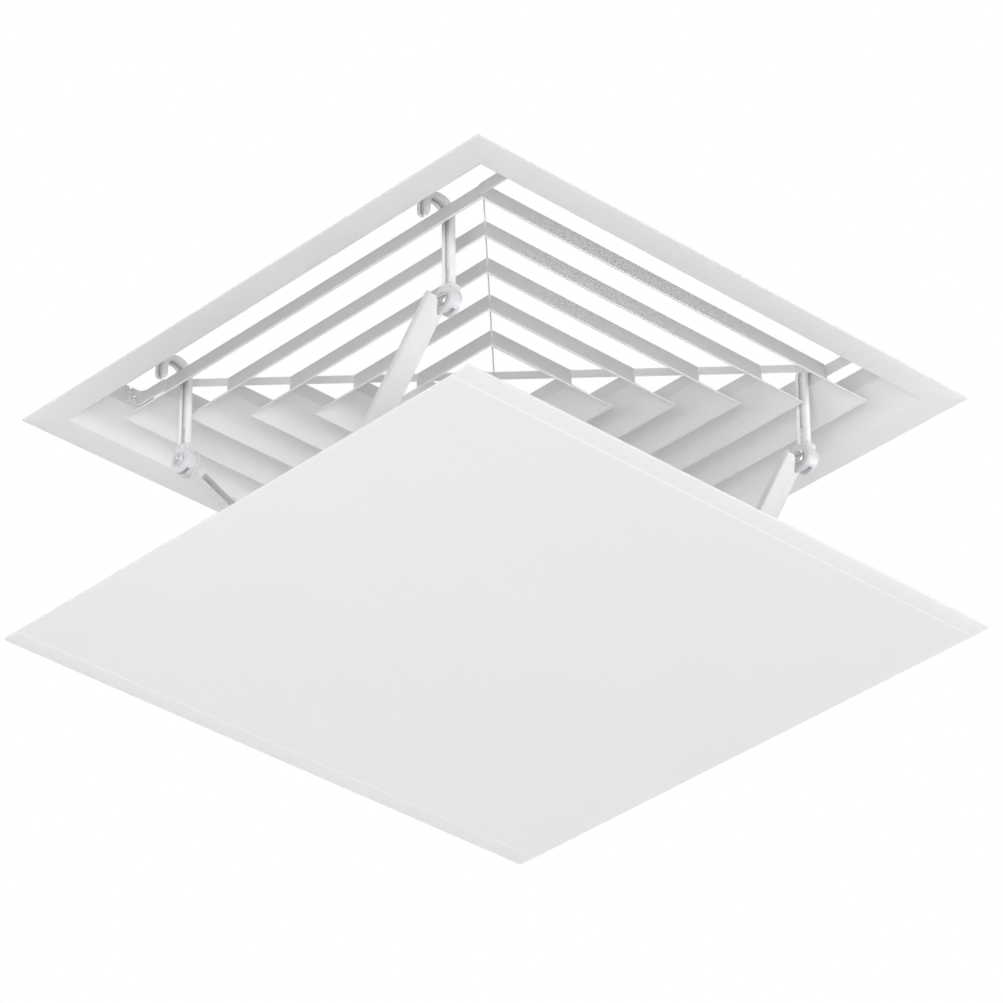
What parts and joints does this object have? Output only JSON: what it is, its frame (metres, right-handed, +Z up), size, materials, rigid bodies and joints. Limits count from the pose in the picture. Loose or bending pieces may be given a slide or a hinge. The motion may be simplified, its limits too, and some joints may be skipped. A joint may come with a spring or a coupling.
{
  "type": "ceiling air diffuser",
  "caption": "Square louvred ceiling air diffuser with a flat air deflector panel hung below it on hooked, height-adjustable, hinged arms.",
  "frame": {"origin": "centre of the deflector panel's underside, the lowest flat face", "axes": "+Z up towards the ceiling, +Y along the panel's longer side, +X across the formed panel edges"},
  "size_m": [0.595, 0.6168, 0.2794],
  "materials": {
    "frame_white": "white powder coat, satin",
    "louvre_white": "white powder coat, satin",
    "panel_plastic": "white ABS sheet, fine satin grain",
    "arm_plastic": "white moulded plastic, satin",
    "clamp_plastic": "natural nylon, slightly translucent",
    "zinc_steel": "bright zinc"
  },
  "bodies": {
    "diffuser": {"frame_side_front": "frame_white", "frame_side_right": "frame_white", "frame_side_back": "frame_white", "frame_side_left": "frame_white", "corner_cleat_fr": "zinc_steel", "corner_cleat_br": "zinc_steel", "corner_cleat_fl": "zinc_steel", "corner_cleat_bl": "zinc_steel", "louvre_ring_1": "louvre_white", "louvre_ring_2": "louvre_white", "louvre_ring_3": "louvre_white", "louvre_ring_4": "louvre_white", "louvre_ring_5": "louvre_white", "spine_bar_a": "louvre_white", "spine_bar_b": "louvre_white", "hanger_strap_fr": "louvre_white", "hanger_strap_br": "louvre_white", "hanger_strap_fl": "louvre_white", "hanger_strap_bl": "louvre_white", "strap_rivet_fr_lower": "zinc_steel", "strap_rivet_fr_upper": "zinc_steel", "strap_rivet_br_lower": "zinc_steel", "strap_rivet_br_upper": "zinc_steel", "strap_rivet_fl_lower": "zinc_steel", "strap_rivet_fl_upper": "zinc_steel", "strap_rivet_bl_lower": "zinc_steel", "strap_rivet_bl_upper": "zinc_steel"},
    "hook_fr": {"hook_rod_fr": "arm_plastic"},
    "clamp_fr": {"rod_clamp_fr": "clamp_plastic", "clamp_nut_fr": "zinc_steel"},
    "screw_fr": {"clamp_screw_fr": "zinc_steel"},
    "arm_fr": {"lower_arm_fr": "arm_plastic"},
    "hook_br": {"hook_rod_br": "arm_plastic"},
    "clamp_br": {"rod_clamp_br": "clamp_plastic", "clamp_nut_br": "zinc_steel"},
    "screw_br": {"clamp_screw_br": "zinc_steel"},
    "arm_br": {"lower_arm_br": "arm_plastic"},
    "hook_fl": {"hook_rod_fl": "arm_plastic"},
    "clamp_fl": {"rod_clamp_fl": "clamp_plastic", "clamp_nut_fl": "zinc_steel"},
    "screw_fl": {"clamp_screw_fl": "zinc_steel"},
    "arm_fl": {"lower_arm_fl": "arm_plastic"},
    "hook_bl": {"hook_rod_bl": "arm_plastic"},
    "clamp_bl": {"rod_clamp_bl": "clamp_plastic", "clamp_nut_bl": "zinc_steel"},
    "screw_bl": {"clamp_screw_bl": "zinc_steel"},
    "arm_bl": {"lower_arm_bl": "arm_plastic"},
    "panel": {"deflector_panel": "panel_plastic", "foot_bracket_fr": "arm_plastic", "foot_bracket_br": "arm_plastic", "foot_bracket_fl": "arm_plastic", "foot_bracket_bl": "arm_plastic", "foot_pin_fr": "zinc_steel", "foot_pin_br": "zinc_steel", "foot_pin_fl": "zinc_steel", "foot_pin_bl": "zinc_steel"}
  },
  "joints": [
    {"name": "hook_slide_fr", "type": "slide", "parent": "diffuser", "child": "hook_fr", "axis": [1, 0, 0], "range_m": [-0.012, 0.005]},
    {"name": "height_slide_fr", "type": "slide", "parent": "hook_fr", "child": "clamp_fr", "axis": [0, 0, 1], "range_m": [0, 0.03]},
    {"name": "clamp_screw_turn_fr", "type": "hinge", "parent": "clamp_fr", "child": "screw_fr", "pos_m": [0.158, -0.2016, 0.177], "axis": [0, 1, 0], "continuous": true},
    {"name": "arm_swing_fr", "type": "hinge", "parent": "clamp_fr", "child": "arm_fr", "pos_m": [0.158, -0.2016, 0.177], "axis": [0, 1, 0], "range_deg": [-4.4, 1.9]},
    {"name": "hook_slide_br", "type": "slide", "parent": "diffuser", "child": "hook_br", "axis": [1, 0, 0], "range_m": [-0.012, 0.005]},
    {"name": "height_slide_br", "type": "slide", "parent": "hook_br", "child": "clamp_br", "axis": [0, 0, 1], "range_m": [0, 0.03]},
    {"name": "clamp_screw_turn_br", "type": "hinge", "parent": "clamp_br", "child": "screw_br", "pos_m": [0.186, 0.2016, 0.177], "axis": [0, 1, 0], "continuous": true},
    {"name": "arm_swing_br", "type": "hinge", "parent": "clamp_br", "child": "arm_br", "pos_m": [0.186, 0.2016, 0.177], "axis": [0, 1, 0], "range_deg": [-4.4, 1.9]},
    {"name": "hook_slide_fl", "type": "slide", "parent": "diffuser", "child": "hook_fl", "axis": [1, 0, 0], "range_m": [-0.005, 0.012]},
    {"name": "height_slide_fl", "type": "slide", "parent": "hook_fl", "child": "clamp_fl", "axis": [0, 0, 1], "range_m": [0, 0.03]},
    {"name": "clamp_screw_turn_fl", "type": "hinge", "parent": "clamp_fl", "child": "screw_fl", "pos_m": [-0.186, -0.2016, 0.177], "axis": [0, 1, 0], "continuous": true},
    {"name": "arm_swing_fl", "type": "hinge", "parent": "clamp_fl", "child": "arm_fl", "pos_m": [-0.186, -0.2016, 0.177], "axis": [0, 1, 0], "range_deg": [-1.9, 4.4]},
    {"name": "hook_slide_bl", "type": "slide", "parent": "diffuser", "child": "hook_bl", "axis": [1, 0, 0], "range_m": [-0.005, 0.012]},
    {"name": "height_slide_bl", "type": "slide", "parent": "hook_bl", "child": "clamp_bl", "axis": [0, 0, 1], "range_m": [0, 0.03]},
    {"name": "clamp_screw_turn_bl", "type": "hinge", "parent": "clamp_bl", "child": "screw_bl", "pos_m": [-0.158, 0.2016, 0.177], "axis": [0, 1, 0], "continuous": true},
    {"name": "arm_swing_bl", "type": "hinge", "parent": "clamp_bl", "child": "arm_bl", "pos_m": [-0.158, 0.2016, 0.177], "axis": [0, 1, 0], "range_deg": [-1.9, 4.4]},
    {"name": "panel_level", "type": "hinge", "parent": "arm_fr", "child": "panel", "pos_m": [0.02374, -0.2177, 0.017], "axis": [0, 1, 0], "range_deg": [-1.9, 4.4]}
  ],
  "couplings": [
    {"joint": "arm_swing_fr", "follows": "hook_slide_fr", "rad_per_m": 6.25},
    {"joint": "hook_slide_br", "follows": "hook_slide_fr", "ratio": 1},
    {"joint": "height_slide_br", "follows": "height_slide_fr", "ratio": 1},
    {"joint": "arm_swing_br", "follows": "hook_slide_fr", "rad_per_m": 6.25},
    {"joint": "hook_slide_fl", "follows": "hook_slide_fr", "ratio": -1},
    {"joint": "height_slide_fl", "follows": "height_slide_fr", "ratio": 1},
    {"joint": "arm_swing_fl", "follows": "hook_slide_fr", "rad_per_m": -6.25},
    {"joint": "hook_slide_bl", "follows": "hook_slide_fr", "ratio": -1},
    {"joint": "height_slide_bl", "follows": "height_slide_fr", "ratio": 1},
    {"joint": "arm_swing_bl", "follows": "hook_slide_fr", "rad_per_m": -6.25},
    {"joint": "panel_level", "follows": "hook_slide_fr", "rad_per_m": -6.25}
  ]
}
